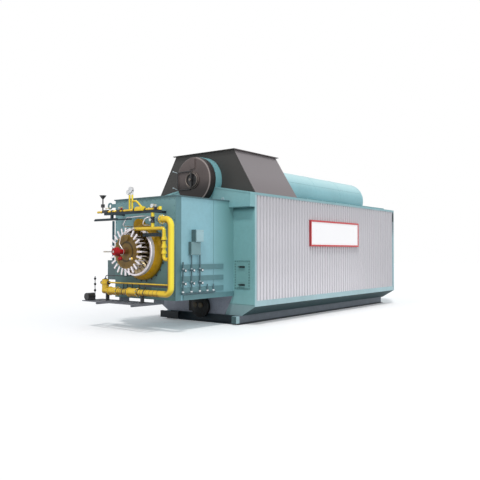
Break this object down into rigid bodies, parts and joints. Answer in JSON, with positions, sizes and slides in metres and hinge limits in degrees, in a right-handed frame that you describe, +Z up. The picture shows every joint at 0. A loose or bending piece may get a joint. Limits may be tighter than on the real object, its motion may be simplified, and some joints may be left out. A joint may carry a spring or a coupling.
{
  "type": "industrial boiler",
  "caption": "Long skid-mounted watertube boiler with ribbed casing, top steam drum, tapered flue outlet, box windbox, register burner and yellow gas train.",
  "frame": {"origin": "on the ground on the centreline, under the skid's front cross beam, in line with the front wall", "axes": "+Y from the front wall to the rear along the casing, +X towards the side with the sign board, +Z up"},
  "size_m": [3.686, 12.33, 4.726],
  "materials": {
    "beam_black": "satin enamel",
    "black_iron": "painted black",
    "box_pale": "satin enamel",
    "bright_steel": "brushed",
    "burner_ochre": "satin enamel",
    "casing_teal": "satin enamel",
    "cladding": "satin coated ribbed sheet",
    "conduit_zinc": "galvanised",
    "dark_strip": "satin enamel",
    "drum_black": "heat resistant paint",
    "drum_brown": "heat resistant paint",
    "gas_yellow": "gloss enamel",
    "gauge_face": "satin",
    "hopper_brown": "heat resistant paint",
    "lagging_teal": "satin coated sheet",
    "roof_teal": "satin enamel",
    "sign_red": "gloss enamel",
    "sign_white": "gloss enamel",
    "signal_red": "gloss enamel",
    "skid_grey": "satin primer",
    "slope_teal": "satin enamel",
    "tray_grey": "satin primer",
    "trim_pale": "satin coated sheet",
    "trim_teal": "satin coated sheet",
    "valve_grey": "satin enamel",
    "vane_steel": "heat stained",
    "windbox_teal": "satin enamel"
  },
  "bodies": {
    "root": {"access_doors": "casing_teal", "branch_gas_pipe": "gas_yellow", "burner_front_ring": "bright_steel", "burner_gun": "signal_red", "burner_hub": "burner_ochre", "burner_scroll": "burner_ochre", "casing_body": "casing_teal", "channel_arms": "beam_black", "cladding_left": "cladding", "cladding_right": "cladding", "corner_trims": "trim_pale", "door_latches": "black_iron", "drum_collar": "casing_teal", "drum_lagging": "lagging_teal", "drum_rear_dome": "lagging_teal", "eaves_trims": "trim_teal", "front_header": "casing_teal", "front_wall": "casing_teal", "gas_canes": "bright_steel", "gas_inlet_bend": "valve_grey", "gas_inlet_flange": "gas_yellow", "gas_riser": "gas_yellow", "gun_pin": "bright_steel", "hopper_flange": "hopper_brown", "lifting_lugs": "casing_teal", "low_gas_pipe": "gas_yellow", "lower_front_plate": "skid_grey", "lower_slope_panels": "slope_teal", "main_pipe_flanges": "black_iron", "manway_cover": "black_iron", "manway_ring": "drum_brown", "mud_drum_end": "drum_black", "outlet_hopper": "hopper_brown", "pilot_channel": "beam_black", "pilot_gas_pipe": "gas_yellow", "pilot_saddles": "black_iron", "pipe_posts": "black_iron", "pressure_gauges": "gauge_face", "rear_wall": "casing_teal", "register_vanes": "vane_steel", "roof_sheet_left": "roof_teal", "roof_sheet_right": "roof_teal", "side_boxes": "box_pale", "side_pipes": "conduit_zinc", "sign_frame": "sign_red", "sign_panel": "sign_white", "sill_trims": "trim_pale", "skid_cross_beams": "skid_grey", "skid_end_plates": "slope_teal", "skid_front_beam": "beam_black", "skid_rail_left": "skid_grey", "skid_rail_right": "skid_grey", "skid_rear_beam": "beam_black", "steam_drum_head": "drum_brown", "train_fittings": "black_iron", "train_tray": "tray_grey", "tray_bearers": "tray_grey", "windbox_body": "windbox_teal", "windbox_lid": "dark_strip", "windbox_side_flanges": "windbox_teal"}
  },
  "joints": []
}
